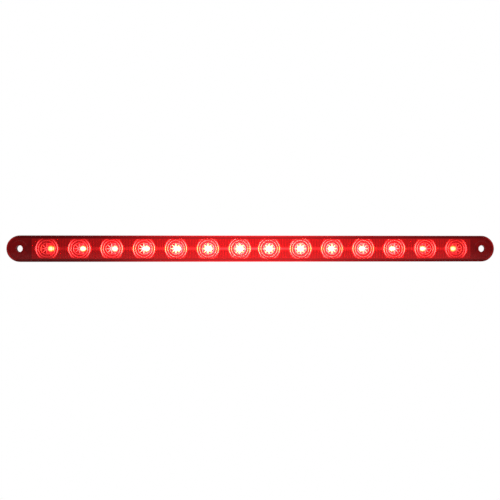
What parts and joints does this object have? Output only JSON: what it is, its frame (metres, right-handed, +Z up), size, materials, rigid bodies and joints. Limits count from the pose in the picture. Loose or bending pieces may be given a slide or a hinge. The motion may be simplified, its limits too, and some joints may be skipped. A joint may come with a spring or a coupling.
{
  "type": "third brake light",
  "caption": "Slim flush-mount LED third brake light bar: flat red lens with rounded screw ears over hexagonal reflector cups, in a shallow black housing.",
  "frame": {"origin": "midway between the two screw holes, on the back plane of the flange, which rests on the vehicle panel", "axes": "X along the bar, lens faces -Y, housing body points to +Y behind the panel, +Z up"},
  "size_m": [0.3048, 0.0164, 0.0164],
  "materials": {
    "red_lens": "clear red polycarbonate, polished",
    "black_housing": "moulded black plastic",
    "metallised_reflector": "vacuum metallised plastic",
    "board_laminate": "green solder mask",
    "potting_resin": "cast resin",
    "grommet_rubber": "moulded rubber",
    "led_package": "white moulded package",
    "led_window": "clear resin, lit red",
    "led_chip": "lit red chip",
    "tinned_leads": "tinned",
    "black_component": "moulded epoxy",
    "ceramic_component": "sintered ceramic"
  },
  "bodies": {
    "root": {"lens": "red_lens", "housing": "black_housing", "reflector_left": "metallised_reflector", "reflector_right": "metallised_reflector", "circuit_board": "board_laminate", "potting": "potting_resin", "wire_grommet": "grommet_rubber", "led_windows": "led_window", "led_dies": "led_chip", "led_leads": "tinned_leads", "polarity_diode": "black_component", "surge_suppressor": "black_component", "filter_capacitor": "ceramic_component", "resistor_1": "black_component", "resistor_2": "black_component", "resistor_3": "black_component", "resistor_4": "black_component", "led_01": "led_package", "led_02": "led_package", "led_03": "led_package", "led_04": "led_package", "led_05": "led_package", "led_06": "led_package", "led_07": "led_package", "led_08": "led_package", "led_09": "led_package", "led_10": "led_package", "led_11": "led_package", "led_12": "led_package", "led_13": "led_package", "led_14": "led_package"}
  },
  "joints": []
}
